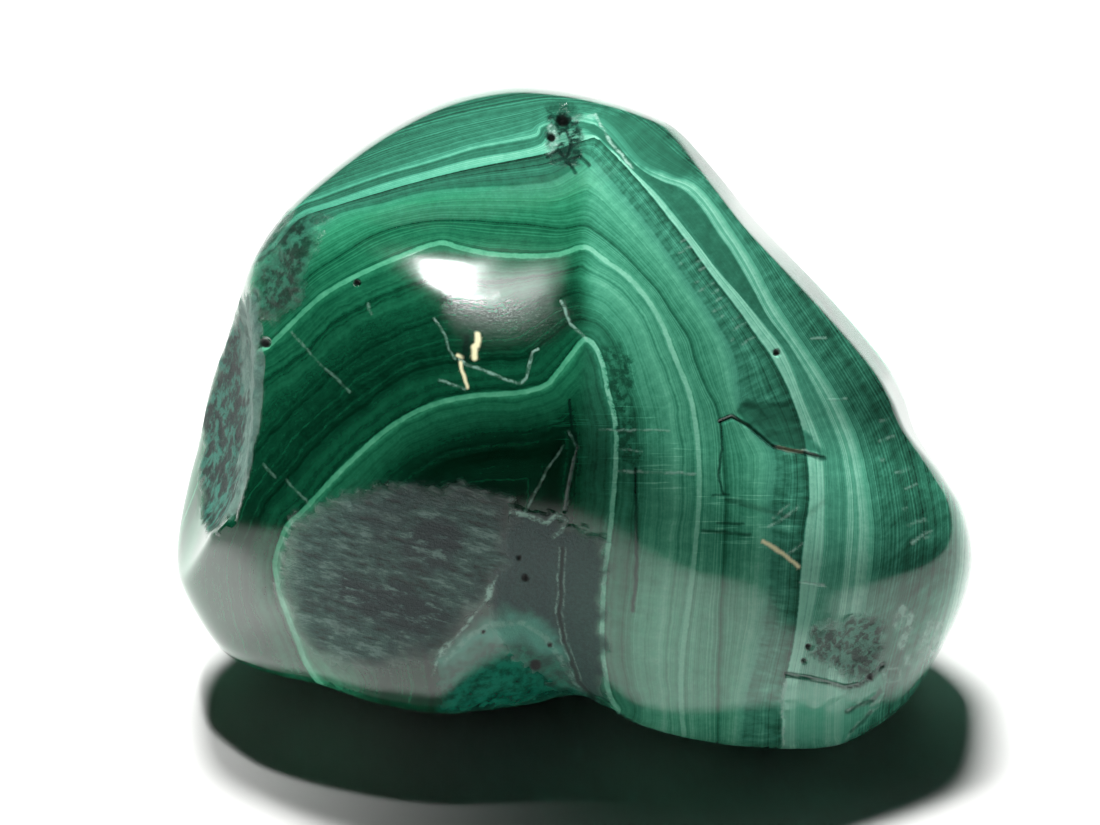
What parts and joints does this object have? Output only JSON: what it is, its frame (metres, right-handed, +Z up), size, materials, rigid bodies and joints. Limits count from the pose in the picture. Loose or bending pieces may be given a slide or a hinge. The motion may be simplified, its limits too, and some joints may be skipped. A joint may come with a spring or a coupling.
{
  "type": "polished malachite specimen",
  "caption": "Tumbled and polished malachite pebble with a low two-lobed front, a rounded peak, worn facets, a scar on its left edge and a flat rest underneath.",
  "frame": {"origin": "centre of the stone's bounding box at the plane it rests on", "axes": "+X to the right along the stone's width, -Y towards the side that shows the arched bands, +Z up"},
  "size_m": [0.046, 0.0348, 0.0334],
  "materials": {
    "malachite": "polished, banded light and dark green"
  },
  "bodies": {
    "root": {"stone": "malachite"}
  },
  "joints": []
}
